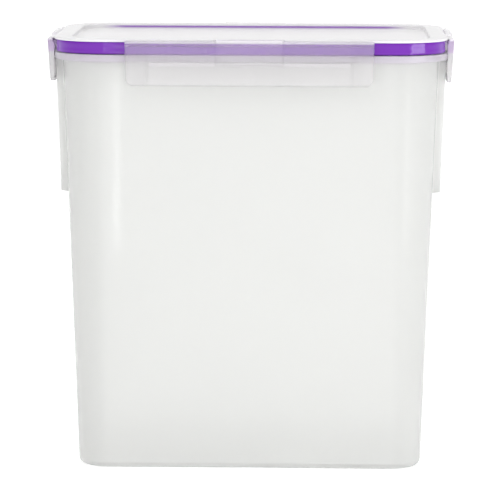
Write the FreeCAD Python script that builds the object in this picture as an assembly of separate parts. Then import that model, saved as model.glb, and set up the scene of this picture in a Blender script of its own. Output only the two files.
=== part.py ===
"""Tall food canister: a moulded tub, a lid with four snap latches on living hinges, and a gasket.

Origin at the middle of the base, +Z up, -Y to the front.  Millimetres.
"""
import FreeCAD, Part
import math
import os

Vector = FreeCAD.Vector

# ---- driving dimensions -------------------------------------------------------------------

# lid, seen from above
LID_LENGTH = 228.0
LID_DEPTH = 156.0
LID_CORNER = 32.0

# tub
TUB_HEIGHT = 242.2
WALL = 2.0
FLOOR = 2.6
DRAFT = 2.1
RIM_HEIGHT = 4.0
RIM_REACH = 4.6
RIM_INSET = 0.6
FOOT_ROUND = 4.0
INNER_FOOT_ROUND = 2.0
BASE_RECESS = 0.8
FOOT_WIDTH = 9.0

# raised grip panels on the short sides, with a catch at the top where the side latch hooks in
PANEL_HEIGHT = 78.0
PANEL_WIDTH = 88.0
PANEL_PROUD = 4.5
PANEL_ROUND = 2.0
CATCH_HEIGHT = 6.0

# lid, in section
LID_FLANGE = 1.6
LID_EDGE_CHAMFER = 0.4
LID_TOP_ROUND = 0.5
RECESS_DEPTH = 2.5
RECESS_FLOOR = 1.8
LID_BORDER = 10.4
PLUG_WALL = 1.6
PLUG_DEPTH = 5.7

# gasket between the tub's rim and the lid's flange
GASKET_HEIGHT = 7.4
GASKET_INSET = 1.4
GASKET_ROUND = 0.8

# latches
LONG_LATCH = 142.0
SHORT_LATCH = 97.0
HINGE_OUT = 2.2
HINGE_DROP = 2.4
BEAD_RADIUS = 1.5
FLAP_DROP = 24.0
FLAP_LEAN = 3.6
FLAP_PLATE = 1.6
FLAP_BORDER = 2.0
FLAP_CORNER = 4.9
FLAP_LIP_ROUND = 0.6
LATCH_CLEARANCE = 0.5
WINDOW_DEPTH = 0.35
WINDOW_HEIGHT = 6.4
WINDOW_CORNER = 2.0

# thumb boss in the middle of each latch, between the two hinge strips
BOSS_LENGTH = 38.6
BOSS_RADIUS = 2.6
BOSS_CORNER = 1.6
BOSS_CLEARANCE = 0.9

# film of the living hinge
FILM = 0.28
FILM_END = 0.8

# snap rib that hooks under the tub's rim
RIB_FROM_END = 13.5
RIB_HEIGHT = 2.2
RIB_GRIP = 1.1
RIB_CLEARANCE = 0.3
GUSSET = 2.0
GUSSET_HEIGHT = 8.6

# ---- sizes that follow --------------------------------------------------------------------

RIM_BASE = TUB_HEIGHT - RIM_HEIGHT
WALL_INSET = RIM_INSET + RIM_REACH
DRAFT_SLOPE = math.tan(math.radians(DRAFT))
LID_UNDERSIDE = TUB_HEIGHT + GASKET_HEIGHT
LID_TOP = LID_UNDERSIDE + LID_FLANGE
PLUG_INSET = LID_BORDER - PLUG_WALL
HINGE_Z = LID_TOP - HINGE_DROP
FLAP_BOTTOM = HINGE_Z - FLAP_DROP
FLAP_SLOPE = math.tan(math.radians(FLAP_LEAN))
FLAP_INSIDE = LATCH_CLEARANCE - RIM_INSET
RIB_TOP = RIM_BASE - RIB_CLEARANCE
RIB_REACH = RIM_INSET + RIB_GRIP
PANEL_BASE = RIM_BASE - PANEL_HEIGHT
FAR = 400.0


def wall_inset(z):
    """How far inside the lid's edge the tub's outer wall stands at height z."""
    return WALL_INSET + (RIM_BASE - z) * DRAFT_SLOPE


def outline(inset, z):
    """The lid's outline, moved inwards by inset, as a wire at height z.  All its corners share centres."""
    a = LID_LENGTH / 2 - inset
    b = LID_DEPTH / 2 - inset
    r = LID_CORNER - inset
    edges = []
    for quarter in range(4):
        turn = math.radians(90 * quarter)
        sx = 1 if quarter in (0, 3) else -1
        sy = 1 if quarter in (0, 1) else -1
        centre = Vector(sx * (a - r), sy * (b - r), z)
        arc = [centre + Vector(r * math.cos(turn + t), r * math.sin(turn + t), 0)
               for t in (0, math.pi / 4, math.pi / 2)]
        if edges:
            edges.append(Part.LineSegment(last, arc[0]).toShape())
        else:
            first = arc[0]
        edges.append(Part.Arc(*arc).toShape())
        last = arc[2]
    edges.append(Part.LineSegment(last, first).toShape())
    return Part.Wire(edges)


def slab(inset, low, high):
    """Upright solid with the lid's outline, moved inwards by inset, between two heights."""
    return Part.Face(outline(inset, low)).extrude(Vector(0, 0, high - low))


def tapered(low_inset, low, high_inset, high):
    """Solid between two of the lid's outlines."""
    return Part.makeLoft([outline(low_inset, low), outline(high_inset, high)], True, True)


def prism(points, direction):
    """Solid swept along a direction from a closed polygon."""
    wire = Part.makePolygon([Vector(*p) for p in points] + [Vector(*points[0])])
    return Part.Face(wire).extrude(Vector(*direction))


def round_edges(solid, radius, wanted):
    """Fillet the edges whose bounding box passes the test."""
    return solid.makeFillet(radius, [e for e in solid.Edges if wanted(e.BoundBox)])


def level(z):
    """Test for edges that lie flat at height z."""
    return lambda box: abs(box.ZMin - z) < 1e-4 and abs(box.ZMax - z) < 1e-4


def turned(solid, quarter):
    """A copy turned about the upright axis by a number of quarter turns."""
    copy = solid.copy()
    copy.rotate(Vector(0, 0, 0), Vector(0, 0, 1), 90 * quarter)
    return copy


# ---- tub ----------------------------------------------------------------------------------

def panel_block(skin, low, high):
    """Wedge of one grip panel on the +X side, skin thinner than its outside."""
    def face_x(z):
        return LID_LENGTH / 2 - wall_inset(z) + PANEL_PROUD - skin

    half = PANEL_WIDTH / 2 - skin
    root = LID_LENGTH / 2 - wall_inset(low) - 3 * WALL
    points = [(root, -half, low), (face_x(low), -half, low), (face_x(high), -half, high), (root, -half, high)]
    block = prism(points, (0, 2 * half, 0))
    outer = face_x(low) - 1e-3
    block = round_edges(block, PANEL_ROUND, lambda box: box.XMin > outer and box.ZMax - box.ZMin > WALL)
    return block


def make_catch():
    """Shallow recess in the +X panel, below the rim, that leaves room for the side latch's snap rib."""
    half = SHORT_LATCH / 2 - RIB_FROM_END + 2 * LATCH_CLEARANCE
    floor_x = LID_LENGTH / 2 - RIB_REACH - RIB_CLEARANCE
    return Part.makeBox(FAR, 2 * half, CATCH_HEIGHT, Vector(floor_x, -half, RIM_BASE - CATCH_HEIGHT))


def make_tub():
    shell = tapered(wall_inset(0), 0, WALL_INSET, RIM_BASE)
    shell = round_edges(shell, FOOT_ROUND, level(0))
    cavity = tapered(wall_inset(FLOOR) + WALL, FLOOR, wall_inset(TUB_HEIGHT) + WALL, TUB_HEIGHT)
    cavity = round_edges(cavity, INNER_FOOT_ROUND, level(FLOOR))
    rim = slab(RIM_INSET, RIM_BASE, TUB_HEIGHT)
    panel = panel_block(0, PANEL_BASE, RIM_BASE)
    pocket = panel_block(WALL, PANEL_BASE + WALL, TUB_HEIGHT)
    tub = shell.fuse([rim, panel, turned(panel, 2)])
    tub = tub.cut([cavity, pocket, turned(pocket, 2), make_catch(), turned(make_catch(), 2)])
    base = slab(wall_inset(0) + FOOT_WIDTH, -1, BASE_RECESS)
    return tub.cut(base).removeSplitter()


# ---- lid and gasket -----------------------------------------------------------------------

def make_lid():
    flange = tapered(LID_EDGE_CHAMFER, LID_UNDERSIDE, 0, LID_UNDERSIDE + LID_EDGE_CHAMFER)
    upper = slab(0, LID_UNDERSIDE + LID_EDGE_CHAMFER, LID_TOP)
    upper = round_edges(upper, LID_TOP_ROUND, level(LID_TOP))
    core = slab(PLUG_INSET, TUB_HEIGHT - PLUG_DEPTH, LID_UNDERSIDE)
    floor_top = LID_TOP - RECESS_DEPTH
    lid = flange.fuse([upper, core])
    lid = lid.cut(slab(LID_BORDER, floor_top, LID_TOP + 1))
    lid = lid.cut(slab(LID_BORDER, TUB_HEIGHT - PLUG_DEPTH - 1, floor_top - RECESS_FLOOR))
    notch_depth = BOSS_RADIUS - HINGE_OUT + 0.5 * BOSS_CLEARANCE
    half = BOSS_LENGTH / 2 + BOSS_CLEARANCE
    for quarter in range(4):
        edge = edge_distance(quarter)
        notch = Part.makeBox(2 * half, FAR, FAR, Vector(-half, -edge + notch_depth - FAR, LID_UNDERSIDE))
        lid = lid.cut(turned(notch, quarter))
    return lid.removeSplitter()


def make_gasket():
    band = slab(GASKET_INSET, TUB_HEIGHT, LID_UNDERSIDE)
    band = round_edges(band, GASKET_ROUND, level(TUB_HEIGHT))
    return band.cut(slab(PLUG_INSET, TUB_HEIGHT - 1, LID_UNDERSIDE + 1))


# ---- latches, drawn for the front: x along the flap, u outwards from the lid's edge --------

def edge_distance(quarter):
    """From the upright axis to the lid's edge, on the front, right, back and left in turn."""
    return (LID_DEPTH if quarter % 2 == 0 else LID_LENGTH) / 2


def flap_face(z):
    """How far out the flap's outer face stands at height z."""
    return HINGE_OUT + BEAD_RADIUS - (HINGE_Z - z) * FLAP_SLOPE


def section(points, half_length, start=None):
    """Solid with a section of (u, z) points, from start to half_length along x."""
    start = -half_length if start is None else start
    return prism([(start, -u, z) for u, z in points], (half_length - start, 0, 0))


def front_shape(x_low, x_high, z_low, z_high, low_corner, high_corner):
    """Slab whose front outline is a rectangle with rounded corners, deep enough to trim a flap."""
    block = Part.makeBox(x_high - x_low, 40, z_high - z_low, Vector(x_low, -20, z_low))
    middle = (z_low + z_high) / 2
    upright = [e for e in block.Edges if e.BoundBox.YMax - e.BoundBox.YMin > 39]
    for radius, edges in ((low_corner, [e for e in upright if e.BoundBox.ZMax < middle]),
                          (high_corner, [e for e in upright if e.BoundBox.ZMin > middle])):
        if radius:
            at = [e.CenterOfMass for e in edges]
            same = [e for e in block.Edges if any((e.CenterOfMass - p).Length < 1e-6 for p in at)]
            block = block.makeFillet(radius, same)
    return block


def hinge_rod(radius, half_length):
    """Rod on the hinge line."""
    return Part.makeCylinder(radius, 2 * half_length, Vector(-half_length, -HINGE_OUT, HINGE_Z), Vector(1, 0, 0))


def make_flap(length):
    half = length / 2
    inner_top = HINGE_Z - BEAD_RADIUS
    profile = [(flap_face(HINGE_Z), HINGE_Z), (flap_face(FLAP_BOTTOM), FLAP_BOTTOM),
               (FLAP_INSIDE, FLAP_BOTTOM), (FLAP_INSIDE, inner_top),
               (HINGE_OUT - 0.6 * BEAD_RADIUS, HINGE_Z - 0.5 * BEAD_RADIUS)]
    plate = section(profile, half).common(front_shape(-half, half, FLAP_BOTTOM, LID_TOP, FLAP_CORNER, 0))
    plate = round_edges(plate, FLAP_LIP_ROUND, lambda box: level(FLAP_BOTTOM)(box) and box.YMax < -HINGE_OUT / 2)
    flap = plate.fuse(hinge_rod(BEAD_RADIUS, half)).removeSplitter()

    low = FLAP_BOTTOM + FLAP_PLATE
    high = inner_top - 0.4
    hollow = [(-4, low), (flap_face(low) - FLAP_PLATE, low), (flap_face(high) - FLAP_PLATE, high), (-4, high)]
    flap = flap.cut(section(hollow, half - FLAP_BORDER))

    window_top = HINGE_Z - 1.0
    window_low = window_top - WINDOW_HEIGHT
    sunk = [(flap_face(window_low) - WINDOW_DEPTH, window_low), (10, window_low),
            (10, window_top), (flap_face(window_top) - WINDOW_DEPTH, window_top)]
    for side in (-1, 1):
        near = BOSS_LENGTH / 2 + BOSS_CLEARANCE
        far = half - FLAP_BORDER
        low_x, high_x = sorted((side * near, side * far))
        frame = front_shape(low_x, high_x, window_low, window_top, WINDOW_CORNER, WINDOW_CORNER)
        flap = flap.cut(section(sunk, half).common(frame))

    flap = flap.fuse([make_boss()] + [make_gusset(half, side) for side in (-1, 1)])
    return flap.removeSplitter()


def make_boss():
    """Thumb boss: a thicker length of the hinge bead, cut flush with the flap's outer face."""
    half = BOSS_LENGTH / 2
    top = HINGE_Z + BOSS_RADIUS
    keep = Part.makeBox(2 * half, 2 * BOSS_RADIUS, BOSS_RADIUS,
                        Vector(-half, -flap_face(HINGE_Z), HINGE_Z))
    shape = front_shape(-half, half, HINGE_Z - BOSS_RADIUS, top, 0, BOSS_CORNER)
    return hinge_rod(BOSS_RADIUS, half).common(keep).common(shape)


def make_gusset(half, side):
    """Upright wall at one end of the snap rib."""
    near = half - RIB_FROM_END
    low = RIB_TOP - RIB_HEIGHT - GUSSET_HEIGHT
    low_x, high_x = sorted((side * near, side * (near + GUSSET)))
    points = [(FLAP_INSIDE, low), (flap_face(low) - 0.5 * FLAP_PLATE, low),
              (flap_face(RIB_TOP) - 0.5 * FLAP_PLATE, RIB_TOP), (FLAP_INSIDE, RIB_TOP)]
    return section(points, high_x, low_x)


def make_snap_rib(length, flap):
    """Rib with a sloped underside that hooks below the tub's rim."""
    base = RIB_TOP - RIB_HEIGHT
    points = [(-RIB_REACH, RIB_TOP), (-RIB_REACH, RIB_TOP - 0.4 * RIB_HEIGHT), (FLAP_INSIDE, base),
              (flap_face(base) - 0.5 * FLAP_PLATE, base), (flap_face(RIB_TOP) - 0.5 * FLAP_PLATE, RIB_TOP)]
    return section(points, length / 2 - RIB_FROM_END).cut(flap)


def make_film(length, flap):
    """The two strips of the living hinge, one on each side of the boss."""
    low = LID_UNDERSIDE + LID_EDGE_CHAMFER
    near = BOSS_LENGTH / 2 + BOSS_CLEARANCE
    far = length / 2 - FILM_END
    points = [(0, low), (HINGE_OUT, low), (HINGE_OUT, low + FILM), (0, low + FILM)]
    strips = [section(points, far, near).cut(flap), section(points, -near, -far).cut(flap)]
    return Part.makeCompound([strip.Solids[0] for strip in strips])


# ---- all the pieces -----------------------------------------------------------------------

def place(solid, quarter):
    """Move a latch piece from the lid's edge line to its own side of the lid."""
    copy = solid.copy()
    copy.translate(Vector(0, -edge_distance(quarter), 0))
    return turned(copy, quarter)


def make_pieces():
    pieces = {"canister_body": make_tub(), "lid_panel": make_lid(), "gasket": make_gasket()}
    for quarter, side in enumerate(("front", "right", "back", "left")):
        length = LONG_LATCH if quarter % 2 == 0 else SHORT_LATCH
        flap = make_flap(length)
        pieces[side + "_latch_flap"] = place(flap, quarter)
        pieces[side + "_latch_snap_rib"] = place(make_snap_rib(length, flap), quarter)
        pieces[side + "_hinge_film"] = place(make_film(length, flap), quarter)
    return pieces


os.makedirs("parts", exist_ok=True)
for name, shape in make_pieces().items():
    shape.exportStep("parts/" + name + ".step")
    box = shape.optimalBoundingBox(False)
    print(name, len(shape.Solids), shape.isValid(), round(shape.Volume),
          [round(v, 2) for v in (box.XMin, box.XMax, box.YMin, box.YMax, box.ZMin, box.ZMax)])
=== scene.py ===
"""Looks of a tall food canister: frosted tub, recessed lid, purple gasket and four snap latches.

Everything is in metres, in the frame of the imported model: base on z = 0, front towards -Y.
"""
import math

import bmesh
import bpy
from mathutils import Matrix, Vector


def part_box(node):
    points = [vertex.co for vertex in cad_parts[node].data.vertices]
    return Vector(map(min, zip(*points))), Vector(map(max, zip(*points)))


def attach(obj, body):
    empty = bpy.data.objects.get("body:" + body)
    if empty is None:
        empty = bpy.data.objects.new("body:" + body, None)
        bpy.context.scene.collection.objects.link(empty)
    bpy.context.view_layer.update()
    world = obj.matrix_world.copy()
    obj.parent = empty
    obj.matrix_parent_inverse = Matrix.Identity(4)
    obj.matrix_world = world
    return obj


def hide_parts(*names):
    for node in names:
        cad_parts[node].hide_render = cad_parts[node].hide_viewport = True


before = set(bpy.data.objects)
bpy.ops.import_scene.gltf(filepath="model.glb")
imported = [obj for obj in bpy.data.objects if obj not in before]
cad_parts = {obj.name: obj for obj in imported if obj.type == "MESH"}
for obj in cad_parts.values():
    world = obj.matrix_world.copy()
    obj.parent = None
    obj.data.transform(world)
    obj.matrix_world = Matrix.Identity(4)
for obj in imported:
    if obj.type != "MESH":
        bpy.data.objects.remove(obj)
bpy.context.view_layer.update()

MM = 0.001
SIDES = ("front", "right", "back", "left")

# ---- places and sizes taken from the frame ------------------------------------------------

tub_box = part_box("canister_body")
lid_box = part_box("lid_panel")
gasket_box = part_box("gasket")
front_flap_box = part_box("front_latch_flap")
right_flap_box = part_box("right_latch_flap")

HALF_LENGTH = lid_box[1].x
HALF_DEPTH = lid_box[1].y
LID_TOP = lid_box[1].z
PLUG_END = lid_box[0].z
TUB_TOP = tub_box[1].z
LID_UNDERSIDE = gasket_box[1].z
RIM_INSET = HALF_LENGTH - tub_box[1].x
GASKET_INSET = HALF_LENGTH - gasket_box[1].x
LONG_LATCH_HALF = front_flap_box[1].x
SHORT_LATCH_HALF = right_flap_box[1].y
LATCH_BOTTOM = front_flap_box[0].z

# ---- sizes of the mouldings ---------------------------------------------------------------

CORNER = 32 * MM
WALL = 2 * MM
FLOOR = 2.6 * MM
DRAFT_SLOPE = math.tan(math.radians(2.1))
RIM_HEIGHT = 4 * MM
RIM_REACH = 4.6 * MM
RIM_BASE = TUB_TOP - RIM_HEIGHT
WALL_INSET = RIM_INSET + RIM_REACH
FOOT_ROUND = 4 * MM
BASE_RECESS = 0.8 * MM
FOOT_WIDTH = 9 * MM

PANEL_HEIGHT = 78 * MM
PANEL_BASE = RIM_BASE - PANEL_HEIGHT
PANEL_HALF = 44 * MM
PANEL_PROUD = 4.5 * MM
PANEL_STEP = 1.4 * MM
CATCH_HALF = 36 * MM
CATCH_HEIGHT = 6 * MM
CATCH_BASE = RIM_BASE - CATCH_HEIGHT
CATCH_INSET = 2.0 * MM

RECESS_DEPTH = 2.5 * MM
LID_FLOOR = 1.8 * MM
RECESS_FLOOR = LID_TOP - RECESS_DEPTH
RECESS_UNDERSIDE = RECESS_FLOOR - LID_FLOOR
BORDER = 10.4 * MM
RECESS_HALF = HALF_LENGTH - BORDER
PLUG_WALL = 1.6 * MM
PLUG_INSET = BORDER - PLUG_WALL
EDGE_CHAMFER = 0.4 * MM
NOTCH_HALF = 20.2 * MM
NOTCH_DEPTH = 0.85 * MM
NOTCH_STEP = 0.5 * MM

GASKET_GAP = 0.02 * MM
BOSS_HALF = 19.3 * MM
BOSS_BOTTOM = TUB_TOP - 5.5 * MM
BEAD_CLOUD_START = LID_TOP - 2.7 * MM
LATCH_BORDER = 12.8 * MM

FLAP_SOFTNESS = 0.25 * MM
RIB_SOFTNESS = 0.2 * MM
FILM_SOFTNESS = 0.05 * MM

# ---- fineness of the meshes ---------------------------------------------------------------

MIDDLE_INSET = CORNER - 0.2 * MM
ARC_STEPS = 28
ROUND_STEPS = 5
SOFT_EDGE_STEPS = 3
STATION_MARGIN = 0.1 * MM
FLAT_ANGLE = math.radians(0.5)
SOFT_EDGE_ANGLE = math.radians(32)
CUT_SHARP_ANGLE = math.radians(40)
SWEPT_SHARP_ANGLE = math.radians(50)

# ---- finishes -----------------------------------------------------------------------------

CLOUD_SCALE = 9.0
GRAIN_SCALE = 900.0
GRAIN_DEPTH = 0.2 * MM
WAVE_SCALE = 30.0
WAVE_DEPTH = 2 * MM
ROUGHNESS_SPREAD = 0.1
COAT_ROUGHNESS = 0.04
MILKY_TRANSMISSION = 0.1

# shares of the gasket's colour painted into the clear plastic, a painted glow where the gasket would show
# through
RIM_GLOW = 0.75
RECESS_FLOOR_GLOW = 0.25
LATCH_GLOW = 0.3

# how much painted shade darkens a place; below zero is painted light
TUB_CORNER_SHADE = 0.034
TUB_TOP_SHADE = 0.018
PANEL_SHADE = -0.035
OUTLINE_SHADE = 0.09
LATCH_END_SHADE = 0.035
BOSS_EDGE_SHADE = 0.07
SIDE_LATCH_SHADE_LOSS = 0.8
GASKET_FOOT_SHADE = 0.7

# how milky a latch is
BEAD_CLOUD = 0.42
BOSS_CLOUD = 0.03
SIDE_LATCH_CLOUD = 0.3

# ---- studio -------------------------------------------------------------------------------

# name, place, what it points at, width and height, power
LIGHTS = (
    ("key", (-0.5, -1.4, 1.6), (0, 0, 0.12), (1.2, 1.2), 4),
    ("left_strip", (-0.112, -0.57, 0.11), (-0.082, -0.075, 0.15), (0.012, 0.2), 0.025),
    ("right_strip", (0.38, -0.41, 0.11), (0.09, -0.066, 0.15), (0.05, 0.2), 0.095),
    ("left_box", (-0.38, -2.4, 0.5), (0, 0, 0.15), (0.14, 1.3), 1.5),
    ("right_box", (1.1, -0.71, 0.2), (0.09, -0.06, 0.22), (0.7, 0.24), 2.8),
)
SIDE_WALL_SHADE = 0.4
SIDE_WALL_START = 0.4
FLOOR_REACH = 6.0
FLOOR_GLOW = 0.35

CAMERA_AWAY = 1.908
CAMERA_ASIDE = -0.00108
CAMERA_HEIGHT = 0.37524
CAMERA_DOWN = 0.13288
CAMERA_ROLL = 0.0032
CAMERA_TURN = 0.0224
CAMERA_LENS = 231.6


# ---- node graphs written as expressions ---------------------------------------------------

class Socket:
    """An output socket that takes part in Python arithmetic by adding Math nodes."""

    def __init__(self, graph, link):
        self.graph = graph
        self.link = link

    def _math(self, operation, *values):
        return self.graph.node("ShaderNodeMath", {"operation": operation}, dict(enumerate(values)))

    def __add__(self, other):
        return self._math("ADD", self, other)

    def __radd__(self, other):
        return self._math("ADD", other, self)

    def __sub__(self, other):
        return self._math("SUBTRACT", self, other)

    def __rsub__(self, other):
        return self._math("SUBTRACT", other, self)

    def __mul__(self, other):
        return self._math("MULTIPLY", self, other)

    def __rmul__(self, other):
        return self._math("MULTIPLY", other, self)

    def __abs__(self):
        return self._math("ABSOLUTE", self)

    def not_below_zero(self):
        return self._math("MAXIMUM", self, 0.0)

    def least(self, other):
        return self._math("MINIMUM", self, other)

    def hypot(self, other):
        return self._math("SQRT", self * self + other * other)

    def sign(self):
        return self._math("SIGN", self)

    def smooth(self, low, high):
        """0 below low, 1 above high, and a smooth step between."""
        settings = {"interpolation_type": "SMOOTHSTEP"}
        values = {"Value": self, "From Min": low, "From Max": high}
        return self.graph.node("ShaderNodeMapRange", settings, values)


class Graph:
    """A node tree, shader or geometry, with one way to add any node."""

    def __init__(self, tree):
        self.tree = tree

    def node(self, kind, settings=None, values=None, out=0):
        made = self.tree.nodes.new(kind)
        for name, value in (settings or {}).items():
            setattr(made, name, value)
        for name, value in (values or {}).items():
            if isinstance(value, Socket):
                self.tree.links.new(value.link, made.inputs[name])
            else:
                made.inputs[name].default_value = value
        return Socket(self, made.outputs[out]) if len(made.outputs) else made

    def split(self, vector):
        parts = self.node("ShaderNodeSeparateXYZ", {}, {"Vector": vector}).link.node
        return [Socket(self, parts.outputs[axis]) for axis in "XYZ"]


# ---- materials ----------------------------------------------------------------------------

def grey(level):
    return (level, level, level, 1)


def noise(graph, place, scale, detail):
    values = {"Vector": place, "Scale": scale, "Detail": detail}
    return graph.node("ShaderNodeTexNoise", {}, values, out="Fac")


def blend(graph, share, base, other):
    """The base colour with this share of the other."""
    values = {"Factor": share, "A": base, "B": other}
    return graph.node("ShaderNodeMix", {"data_type": "RGBA"}, values, out=2)


def moulded_plastic(name, colour, **look):
    """Injection-moulded plastic or rubber: faint flow clouds, a fine satin grain, and painted glow and
    painted shade by place.
    """
    material = bpy.data.materials.new(name)
    material.use_nodes = True
    tree = material.node_tree
    tree.nodes.clear()
    graph = Graph(tree)
    place = graph.node("ShaderNodeTexCoord", out="Object")
    x, y, z = graph.split(place)
    clouds = noise(graph, place, CLOUD_SCALE, 3.0)
    darker = tuple(channel * look["cloud"] for channel in colour[:3]) + (1,)
    tint = blend(graph, clouds, darker, colour)
    # painted glow: the gasket's colour mixed into the plastic where the gasket would show through
    if "blush" in look:
        tint = blend(graph, look["blush"](x, y, z), tint, look["blush_colour"])
    # painted shade: the colour darkened where shade should fall, and lightened where the shade is below
    # zero
    if "shade" in look:
        values = {"Vector": tint, "Scale": 1.0 - look["shade"](x, y, z)}
        tint = graph.node("ShaderNodeVectorMath", {"operation": "SCALE"}, values)
    relief = graph.node("ShaderNodeBump", {}, {
        "Strength": look.get("grain", 0.05),
        "Distance": GRAIN_DEPTH,
        "Height": noise(graph, place, GRAIN_SCALE, 2.0),
    })
    if "waves" in look:
        relief = graph.node("ShaderNodeBump", {}, {
            "Strength": look["waves"],
            "Distance": WAVE_DEPTH,
            "Height": noise(graph, place, WAVE_SCALE, 1.0),
            "Normal": relief,
        })
    rough = look["roughness"] - ROUGHNESS_SPREAD / 2 + ROUGHNESS_SPREAD * clouds

    def body(transmission):
        return graph.node("ShaderNodeBsdfPrincipled", {}, {
            "Base Color": tint,
            "Roughness": rough,
            "Normal": relief,
            "IOR": look["ior"],
            "Transmission Weight": transmission,
            "Coat Weight": look.get("coat", 0.0),
            "Coat Roughness": COAT_ROUGHNESS,
        })

    shader = body(look.get("transmission", 0.0))
    if "cloudy" in look:
        values = {0: look["cloudy"](x, y, z), 1: shader, 2: body(MILKY_TRANSMISSION)}
        shader = graph.node("ShaderNodeMixShader", {}, values)
    graph.node("ShaderNodeOutputMaterial", {}, {"Surface": shader})
    return material


def near_rim(x, y, z):
    """How much of the gasket's colour is painted into the tub's rim at a point, as a painted glow through
    it.
    """
    return RIM_GLOW * z.smooth(RIM_BASE - 1.5 * MM, RIM_BASE + 0.8 * MM)


def on_recess_wall(x, y, z):
    """How much of the gasket's colour is painted, as a painted glow, into the recess's long walls and,
    faintly, its floor.
    """
    across = (abs(x) - (HALF_LENGTH - CORNER)).not_below_zero()
    along = (abs(y) - (HALF_DEPTH - CORNER)).not_below_zero()
    inset = CORNER - across.hypot(along)
    on_wall = inset.smooth(BORDER - 1.0 * MM, BORDER - 0.5 * MM)
    below_top = 1.0 - z.smooth(LID_TOP - 1.5 * MM, LID_TOP - 0.9 * MM)
    above_floor = z.smooth(RECESS_FLOOR - 0.2 * MM, RECESS_FLOOR + 0.1 * MM)
    on_floor = inset.smooth(BORDER + 0.1 * MM, BORDER + 0.9 * MM)
    floor_glow = RECESS_FLOOR_GLOW * on_floor * (1.0 - inset.smooth(BORDER, BORDER + 15 * MM))
    straight = 1.0 - abs(x).smooth(RECESS_HALF - 26 * MM, RECESS_HALF - 8 * MM)
    return above_floor * straight * (on_wall * (1.0 - on_floor) * below_top + floor_glow)


def over_gasket(x, y, z):
    """How much of the gasket's colour is painted into a closed latch, as a painted glow."""
    above_rim = z.smooth(TUB_TOP - 0.6 * MM, TUB_TOP + 0.6 * MM)
    below_lid = 1.0 - z.smooth(LID_UNDERSIDE - 1.2 * MM, LID_UNDERSIDE)
    return LATCH_GLOW * above_rim * below_lid


def along_latch(x, y):
    """A point's share of a side latch, its place along its latch, and its distance from the end."""
    on_side = abs(x).smooth(HALF_LENGTH - 24 * MM, HALF_LENGTH - 14 * MM)
    along = abs(x) * (1.0 - on_side) + abs(y) * on_side
    from_end = LONG_LATCH_HALF - (LONG_LATCH_HALF - SHORT_LATCH_HALF) * on_side - along
    return on_side, along, from_end


def painted_shade_of_latch(x, y, z):
    """Painted shade on a latch: darker at its outline, its ends and the edge of its boss."""
    on_side, along, from_end = along_latch(x, y)
    outline = 1.0 - from_end.least(z - LATCH_BOTTOM).smooth(0.4 * MM, 1.3 * MM)
    ends = 1.0 - from_end.smooth(LATCH_BORDER, LATCH_BORDER + 1.0 * MM)
    into_boss = (BOSS_HALF - along).least(z - BOSS_BOTTOM)
    boss_edge = 1.0 - abs(into_boss).smooth(0.25 * MM, 0.8 * MM)
    shade = OUTLINE_SHADE * outline + LATCH_END_SHADE * ends + BOSS_EDGE_SHADE * boss_edge
    return shade * (1.0 - SIDE_LATCH_SHADE_LOSS * on_side)


def cloudy_parts_of_latch(x, y, z):
    """The bead at the hinge, the middle boss and the side latches look milky."""
    on_side, along, _ = along_latch(x, y)
    boss = (BOSS_HALF - along).least(z - BOSS_BOTTOM).smooth(0.0, 0.6 * MM)
    bead = z.smooth(BEAD_CLOUD_START, BEAD_CLOUD_START + 1.2 * MM)
    return BEAD_CLOUD * bead + BOSS_CLOUD * boss + SIDE_LATCH_CLOUD * on_side


def shade_of_tub(x, y, z):
    """Painted shade and light on the tub: a little darker in its corners and under its rim, and lighter
    on its grip panels.
    """
    into_corner = (abs(x) - (HALF_LENGTH - CORNER)).least(abs(y) - (HALF_DEPTH - CORNER))
    corner = into_corner.smooth(-1 * MM, 6 * MM)
    top = z.smooth(RIM_BASE - 45 * MM, RIM_BASE - 2 * MM)
    panel = abs(x).smooth(HALF_LENGTH - WALL_INSET, HALF_LENGTH - WALL_INSET + 1.5 * MM)
    return TUB_CORNER_SHADE * corner + TUB_TOP_SHADE * top + PANEL_SHADE * panel


def foot_of_gasket(x, y, z):
    """Shadowed lower edge of the gasket, where it meets the tub's rim."""
    return GASKET_FOOT_SHADE * (TUB_TOP + 1.3 * MM - z).smooth(0.0, 1.2 * MM)


def make_materials():
    # The tub, lid and latch get a painted glow of the gasket; the tub, latch and gasket get painted
    # shade.
    clear = {"cloud": 0.993, "ior": 1.22}
    return {
        "tub": moulded_plastic(
            "frosted_tub_plastic", (0.926, 0.93, 0.918, 1), roughness=0.5, transmission=0.6, coat=0.5,
            shade=shade_of_tub, blush=near_rim, blush_colour=(0.90, 0.84, 0.95, 1), **clear),
        "lid": moulded_plastic(
            "satin_lid_plastic", (0.998, 0.988, 0.998, 1), roughness=0.2, transmission=0.28,
            blush=on_recess_wall, blush_colour=(0.42, 0.24, 0.66, 1), **clear),
        "latch": moulded_plastic(
            "satin_latch_plastic", (0.994, 0.984, 0.994, 1), roughness=0.22, transmission=0.82,
            cloudy=cloudy_parts_of_latch, shade=painted_shade_of_latch,
            blush=over_gasket, blush_colour=(0.72, 0.34, 0.99, 1), **clear),
        "rib": moulded_plastic(
            "cloudy_latch_plastic", (0.98, 0.97, 0.98, 1), roughness=0.5, transmission=0.3, **clear),
        "gasket": moulded_plastic(
            "purple_silicone", (0.17, 0.016, 0.42, 1), roughness=0.1, cloud=0.9, ior=1.45,
            shade=foot_of_gasket, grain=0.03, waves=0.01),
    }


# ---- sections: points (inset, height, corner radius, push, reach) --------------------------

def wall_inset(z):
    """How far inside the lid's edge the tub's outer wall stands at height z."""
    return WALL_INSET + (RIM_BASE - z) * DRAFT_SLOPE


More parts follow.
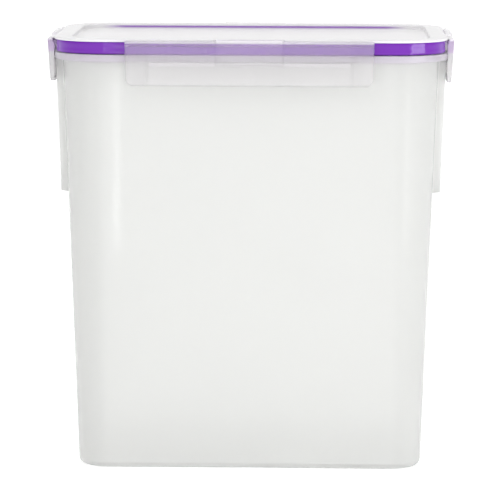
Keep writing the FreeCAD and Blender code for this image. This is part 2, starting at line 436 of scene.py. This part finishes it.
def rounded(points, closed=False):
    """The points of a section with an arc at each corner that has a radius."""
    result = []
    count = len(points)
    for i, (inset, z, radius, push, reach) in enumerate(points):
        corner = Vector((inset, z))
        inner = closed or 0 < i < count - 1
        if not radius or not inner:
            result.append((inset, z, push, reach))
            continue
        before = (Vector(points[i - 1][:2]) - corner).normalized()
        after = (Vector(points[(i + 1) % count][:2]) - corner).normalized()
        half = before.angle(after) / 2
        trim = radius / math.tan(half)
        centre = corner + (before + after).normalized() * (radius / math.sin(half))
        start = corner + before * trim - centre
        turn = start.angle_signed(corner + after * trim - centre)
        for k in range(ROUND_STEPS + 1):
            spot = centre + Matrix.Rotation(-turn * k / ROUND_STEPS, 2) @ start
            result.append((spot.x, spot.y, push, reach))
    return result


def panel_rows(base, skin, upwards):
    """Rows of the wall where a grip panel starts: the ledge rises over about two millimetres."""
    steps = ((-1.0, 0.0), (-0.35, 0.03), (-0.1, 0.14), (0.08, 0.5), (0.26, 0.86), (0.5, 0.97), (1.2, 1.0))
    rows = [(wall_inset(base + dz * MM) + skin, base + dz * MM, 0, share * PANEL_PROUD, PANEL_HALF - skin)
            for dz, share in steps]
    return rows if upwards else rows[::-1]


def tub_section():
    """The tub from under its foot up the outside, over the rim, down the inside and in over its floor."""
    outer = wall_inset(0)
    rim_inner = wall_inset(TUB_TOP) + WALL
    catch_heights = [CATCH_BASE + dz * MM for dz in (-0.3, -0.05, 0, 0.4)]
    catch_rows = [(wall_inset(z), z, 0, PANEL_PROUD, PANEL_HALF) for z in catch_heights]
    points = [
        (MIDDLE_INSET, BASE_RECESS, 0, 0, 0),
        (outer + FOOT_WIDTH + 0.5 * MM, BASE_RECESS, 0.4 * MM, 0, 0),
        (outer + FOOT_WIDTH, 0, 0.4 * MM, 0, 0),
        (outer, 0, FOOT_ROUND, 0, 0),
    ]
    points += panel_rows(PANEL_BASE, 0, True) + catch_rows
    points += [
        (WALL_INSET, RIM_BASE, 0.8 * MM, PANEL_PROUD, PANEL_HALF),
        (RIM_INSET, RIM_BASE, 0.5 * MM, 0, 0),
        (RIM_INSET, TUB_TOP, 0.6 * MM, 0, 0),
        (rim_inner, TUB_TOP, 0.5 * MM, PANEL_PROUD, PANEL_HALF - WALL),
    ]
    points += panel_rows(PANEL_BASE + WALL, WALL, False)
    points += [
        (wall_inset(FLOOR) + WALL, FLOOR, 2.5 * MM, 0, 0),
        (MIDDLE_INSET, FLOOR, 0, 0, 0),
    ]
    return [with_catch(*point) for point in rounded(points)]


def with_catch(inset, z, push, reach):
    """A section point whose push stops at the rim's edge, sunk where the side latches hook in."""
    push = min(push, max(0, inset - RIM_INSET - 0.05 * MM))
    on_catch = reach == PANEL_HALF and CATCH_BASE - 0.01 * MM < z <= RIM_BASE
    dent = max(0, CATCH_INSET - (inset - push)) if on_catch else 0
    return (inset, z, push, reach, dent)


def lid_section():
    """The lid from the recess's floor over the border and round the plug to the floor's underside."""
    points = [
        (MIDDLE_INSET, RECESS_FLOOR, 0, 0, 0),
        (BORDER, RECESS_FLOOR, 0.9 * MM, 0, 0),
        (BORDER, LID_TOP, 0.6 * MM, 0, 0),
        (0, LID_TOP, 0.5 * MM, 0, 0),
        (0, LID_UNDERSIDE + EDGE_CHAMFER, 0.2 * MM, 0, 0),
        (EDGE_CHAMFER, LID_UNDERSIDE, 0.2 * MM, 0, 0),
        (PLUG_INSET, LID_UNDERSIDE, 0, 0, 0),
        (PLUG_INSET, PLUG_END, 0.6 * MM, 0, 0),
        (BORDER, PLUG_END, 0.6 * MM, 0, 0),
        (BORDER, RECESS_UNDERSIDE, 0.8 * MM, 0, 0),
        (MIDDLE_INSET, RECESS_UNDERSIDE, 0, 0, 0),
    ]
    return [(inset, z, min(0, inset - NOTCH_DEPTH), NOTCH_HALF, 0) for inset, z, _, _ in rounded(points)]


def gasket_section():
    """The gasket's closed section, with a faint groove along the middle of its outside."""
    low = TUB_TOP + GASKET_GAP
    high = LID_UNDERSIDE - GASKET_GAP
    inner = PLUG_INSET - GASKET_GAP
    groove = (low + high) / 2
    points = [
        (GASKET_INSET, low, 0.9 * MM, 0, 0),
        (inner, low, 0.3 * MM, 0, 0),
        (inner, high, 0.1 * MM, 0, 0),
        (GASKET_INSET, high, 0.5 * MM, 0, 0),
        (GASKET_INSET, groove + 1.2 * MM, 0, 0, 0),
        (GASKET_INSET + 0.1 * MM, groove, 0, 0, 0),
        (GASKET_INSET, groove - 1.2 * MM, 0, 0, 0),
    ]
    return [point + (0,) for point in rounded(points, closed=True)]


# ---- sweeping a section round the lid's outline --------------------------------------------

def outline_points(stations):
    """The lid's outline, anticlockwise from the right, with extra points at these distances from the
    middle of each straight side."""
    a, b = HALF_LENGTH - CORNER, HALF_DEPTH - CORNER
    offsets = sorted({s * side for s in stations for side in (-1, 1)})
    result = []
    for quarter in range(4):
        turn = math.radians(90 * quarter)
        sx = 1 if quarter in (0, 3) else -1
        sy = 1 if quarter in (0, 1) else -1
        straight = (b, a, b, a)[quarter]
        facing = Matrix.Rotation(turn, 2)
        out = (HALF_LENGTH, HALF_DEPTH, HALF_LENGTH, HALF_DEPTH)[quarter]
        result += [facing @ Vector((out, s)) for s in offsets if abs(s) < straight - STATION_MARGIN]
        centre = Vector((sx * a, sy * b))
        for k in range(ARC_STEPS + 1):
            angle = turn + math.radians(90) * k / ARC_STEPS
            result.append(centre + CORNER * Vector((math.cos(angle), math.sin(angle))))
    return result


def helper_object(name, data):
    made = bpy.data.objects.new(name, data)
    bpy.context.scene.collection.objects.link(made)
    return made


def make_path(name, stations):
    curve = bpy.data.curves.new(name, "CURVE")
    curve.dimensions = "3D"
    spline = curve.splines.new("POLY")
    points = outline_points(stations)
    spline.points.add(len(points) - 1)
    for point, place in zip(spline.points, points):
        point.co = (place.x, place.y, 0, 1)
    spline.use_cyclic_u = True
    return helper_object(name, curve)


def make_section(name, points, closed):
    """A section as a line of vertices that carry how far, and how far along a side, each is pushed."""
    mesh = bpy.data.meshes.new(name)
    edges = [(i, i + 1) for i in range(len(points) - 1)]
    if closed:
        edges.append((len(points) - 1, 0))
    mesh.from_pydata([(-point[0], -point[1], 0) for point in points], edges, [])
    for label, column in (("push", 2), ("reach", 3), ("dent", 4)):
        attribute = mesh.attributes.new(label, "FLOAT", "POINT")
        attribute.data.foreach_set("value", [point[column] for point in points])
    return helper_object(name, mesh)


SWEEP_INPUTS = (
    ("Path", "NodeSocketObject"),
    ("Section", "NodeSocketObject"),
    ("Step Edge", "NodeSocketFloat"),
    ("Long Sides", "NodeSocketFloat"),
    ("Dent Half", "NodeSocketFloat"),
    ("Material", "NodeSocketMaterial"),
)


def make_sweep_tree():
    """Sweeps a section along a path, then pushes its marked rows out or in at the middle of the sides."""
    tree = bpy.data.node_groups.new("moulded_ring", "GeometryNodeTree")
    tree.interface.new_socket("Geometry", in_out="OUTPUT", socket_type="NodeSocketGeometry")
    names = {}
    for name, kind in SWEEP_INPUTS:
        names[name] = tree.interface.new_socket(name, in_out="INPUT", socket_type=kind).identifier
    graph = Graph(tree)
    group_input = tree.nodes.new("NodeGroupInput")
    given = {name: Socket(graph, group_input.outputs[name]) for name, _ in SWEEP_INPUTS}
    path = graph.node("GeometryNodeObjectInfo", {}, {"Object": given["Path"]}, out="Geometry")
    section = graph.node("GeometryNodeObjectInfo", {}, {"Object": given["Section"]}, out="Geometry")
    profile = graph.node("GeometryNodeMeshToCurve", {}, {"Mesh": section})
    ring = graph.node("GeometryNodeCurveToMesh", {}, {"Curve": path, "Profile Curve": profile})
    x, y, _ = graph.split(graph.node("GeometryNodeInputPosition"))
    push, reach, dent = (
        graph.node("GeometryNodeInputNamedAttribute", {"data_type": "FLOAT"}, {"Name": name})
        for name in ("push", "reach", "dent")
    )
    on_short_side = (reach - abs(y)).smooth(0.0, given["Step Edge"])
    on_long_side = (reach - abs(x)).smooth(0.0, given["Step Edge"]) * given["Long Sides"]
    in_dent = (given["Dent Half"] - abs(y)).smooth(0.0, 0.2 * MM)
    offset = graph.node("ShaderNodeCombineXYZ", {}, {
        "X": x.sign() * (push * on_short_side - dent * in_dent),
        "Y": y.sign() * push * on_long_side,
    })
    moved = graph.node("GeometryNodeSetPosition", {}, {"Geometry": ring, "Offset": offset})
    real = graph.node("GeometryNodeRealizeInstances", {}, {"Geometry": moved})
    done = graph.node("GeometryNodeSetMaterial", {}, {"Geometry": real, "Material": given["Material"]})
    graph.node("NodeGroupOutput", {}, {0: done})
    return tree, names


sweep_tree, sweep_inputs = make_sweep_tree()


def mesh_from_modifiers(holder):
    """The evaluated mesh of an object, as a plain mesh of its own."""
    graph = bpy.context.evaluated_depsgraph_get()
    return bpy.data.meshes.new_from_object(holder.evaluated_get(graph))


def close_and_turn_out(mesh):
    """Fill the open ends, merge what coincides and make every face look outwards."""
    work = bmesh.new()
    work.from_mesh(mesh)
    bmesh.ops.remove_doubles(work, verts=work.verts, dist=1e-7)
    bmesh.ops.holes_fill(work, edges=[e for e in work.edges if e.is_boundary], sides=0)
    bmesh.ops.recalc_face_normals(work, faces=work.faces)
    for face in work.faces:
        face.smooth = True
    work.to_mesh(mesh)
    work.free()


def swept_piece(name, points, material, stations, step_edge=1.2 * MM, long_sides=0.0, closed=False):
    """One moulded ring or pan, made by the sweep tree and turned into a plain mesh."""
    path = make_path(name + "_path", stations)
    section = make_section(name + "_section", points, closed)
    piece = helper_object(name, bpy.data.meshes.new(name))
    modifier = piece.modifiers.new("sweep", "NODES")
    modifier.node_group = sweep_tree
    for label, value in (("Path", path), ("Section", section), ("Step Edge", step_edge),
                         ("Long Sides", long_sides), ("Dent Half", CATCH_HALF), ("Material", material)):
        modifier[sweep_inputs[label]] = value
    mesh = mesh_from_modifiers(piece)
    piece.modifiers.clear()
    piece.data = mesh
    close_and_turn_out(mesh)
    mesh.set_sharp_from_angle(angle=SWEPT_SHARP_ANGLE)
    for helper in (path, section):
        bpy.data.objects.remove(helper)
    return piece


# ---- pieces -------------------------------------------------------------------------------

def fine_stations(edge, width):
    """Points along a side that carry a step at this distance from its middle."""
    return [edge - width * share for share in (-0.1, 0, 0.12, 0.25, 0.4, 0.6, 0.75, 0.88, 1, 1.1)]


def make_tub(material):
    stations = fine_stations(PANEL_HALF, PANEL_STEP) + fine_stations(PANEL_HALF - WALL, PANEL_STEP)
    stations += [CATCH_HALF - 0.2 * MM, CATCH_HALF - 0.1 * MM, CATCH_HALF]
    stations += [0, 15 * MM, 30 * MM, 60 * MM, 75 * MM]
    piece = swept_piece("tub", tub_section(), material, stations, PANEL_STEP)
    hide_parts("canister_body")
    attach(piece, "canister")


def make_lid(material):
    stations = fine_stations(NOTCH_HALF, NOTCH_STEP) + [0, 12 * MM, 40 * MM, 60 * MM]
    piece = swept_piece("lid", lid_section(), material, stations, NOTCH_STEP, long_sides=1.0)
    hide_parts("lid_panel")
    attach(piece, "lid")


def make_gasket(material):
    stations = [0, 20 * MM, 40 * MM, 60 * MM]
    piece = swept_piece("gasket_ring", gasket_section(), material, stations, closed=True)
    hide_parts("gasket")
    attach(piece, "lid")


def softened_copy(node, name, width):
    """A node's shape as a new mesh, with its flat faces whole and its edges rounded."""
    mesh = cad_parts[node].data.copy()
    mesh.name = name
    work = bmesh.new()
    work.from_mesh(mesh)
    bmesh.ops.remove_doubles(work, verts=work.verts, dist=1e-6)
    bmesh.ops.dissolve_limit(work, angle_limit=FLAT_ANGLE, verts=work.verts, edges=work.edges)
    work.to_mesh(mesh)
    work.free()
    piece = helper_object(name, mesh)
    bevel = piece.modifiers.new("soft_edges", "BEVEL")
    bevel.width = width
    bevel.segments = SOFT_EDGE_STEPS
    bevel.limit_method = "ANGLE"
    bevel.angle_limit = SOFT_EDGE_ANGLE
    finished = mesh_from_modifiers(piece)
    piece.modifiers.clear()
    piece.data = finished
    for polygon in finished.polygons:
        polygon.use_smooth = True
    finished.set_sharp_from_angle(angle=CUT_SHARP_ANGLE)
    return piece


def make_latch(side, material, cloudy):
    flap = softened_copy(side + "_latch_flap", side + "_flap", FLAP_SOFTNESS)
    rib = softened_copy(side + "_latch_snap_rib", side + "_rib", RIB_SOFTNESS)
    for piece, node, plastic in ((flap, "_latch_flap", material), (rib, "_latch_snap_rib", cloudy)):
        piece.data.materials.clear()
        piece.data.materials.append(plastic)
        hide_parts(side + node)
        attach(piece, side + "_latch")
    film = softened_copy(side + "_hinge_film", side + "_film", FILM_SOFTNESS)
    film.data.materials.clear()
    film.data.materials.append(material)
    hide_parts(side + "_hinge_film")
    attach(film, "lid")


# ---- floor, light and camera --------------------------------------------------------------

def make_floor():
    work = bmesh.new()
    bmesh.ops.create_grid(work, x_segments=1, y_segments=1, size=FLOOR_REACH)
    mesh = bpy.data.meshes.new("floor")
    work.to_mesh(mesh)
    work.free()
    floor = helper_object("floor", mesh)
    material = bpy.data.materials.new("pale_floor")
    material.use_nodes = True
    shader = material.node_tree.nodes["Principled BSDF"]
    shader.inputs["Base Color"].default_value = grey(0.9)
    shader.inputs["Roughness"].default_value = 0.9
    shader.inputs["Emission Color"].default_value = grey(1.0)
    shader.inputs["Emission Strength"].default_value = FLOOR_GLOW
    mesh.materials.append(material)


def make_light(name, place, target, size, power):
    light = bpy.data.lights.new(name, "AREA")
    light.shape = "RECTANGLE"
    light.size, light.size_y = size
    light.energy = power
    lamp = helper_object(name, light)
    lamp.location = place
    lamp.visible_camera = False
    lamp.rotation_euler = (Vector(target) - Vector(place)).to_track_quat("-Z", "Y").to_euler()


def make_world():
    """An even white studio whose walls to the left and right are greyer."""
    world = bpy.data.worlds.new("studio")
    bpy.context.scene.world = world
    world.use_nodes = True
    world.node_tree.nodes.clear()
    graph = Graph(world.node_tree)
    x, _, _ = graph.split(graph.node("ShaderNodeTexCoord", out="Generated"))
    strength = 1.0 - SIDE_WALL_SHADE * abs(x).smooth(SIDE_WALL_START, 1.0)
    background = graph.node("ShaderNodeBackground", {}, {"Color": grey(1.0), "Strength": strength})
    graph.node("ShaderNodeOutputWorld", {}, {"Surface": background})


def make_camera():
    data = bpy.data.cameras.new("camera")
    data.sensor_width = 36.0
    data.lens = CAMERA_LENS
    data.clip_end = 100
    camera = helper_object("camera", data)
    turn = Matrix.Rotation(CAMERA_TURN, 4, "Z")
    tilt = Matrix.Rotation(math.radians(90) - CAMERA_DOWN, 4, "X")
    roll = Matrix.Rotation(CAMERA_ROLL, 4, "Z")
    place = Matrix.Translation((CAMERA_ASIDE, -CAMERA_AWAY, CAMERA_HEIGHT))
    camera.matrix_world = turn @ place @ tilt @ roll
    bpy.context.scene.camera = camera


def main():
    materials = make_materials()
    make_tub(materials["tub"])
    make_lid(materials["lid"])
    make_gasket(materials["gasket"])
    for side in SIDES:
        make_latch(side, materials["latch"], materials["rib"])
    make_floor()
    make_world()
    for light in LIGHTS:
        make_light(*light)
    make_camera()
    bpy.context.scene.view_settings.view_transform = "Standard"


main()
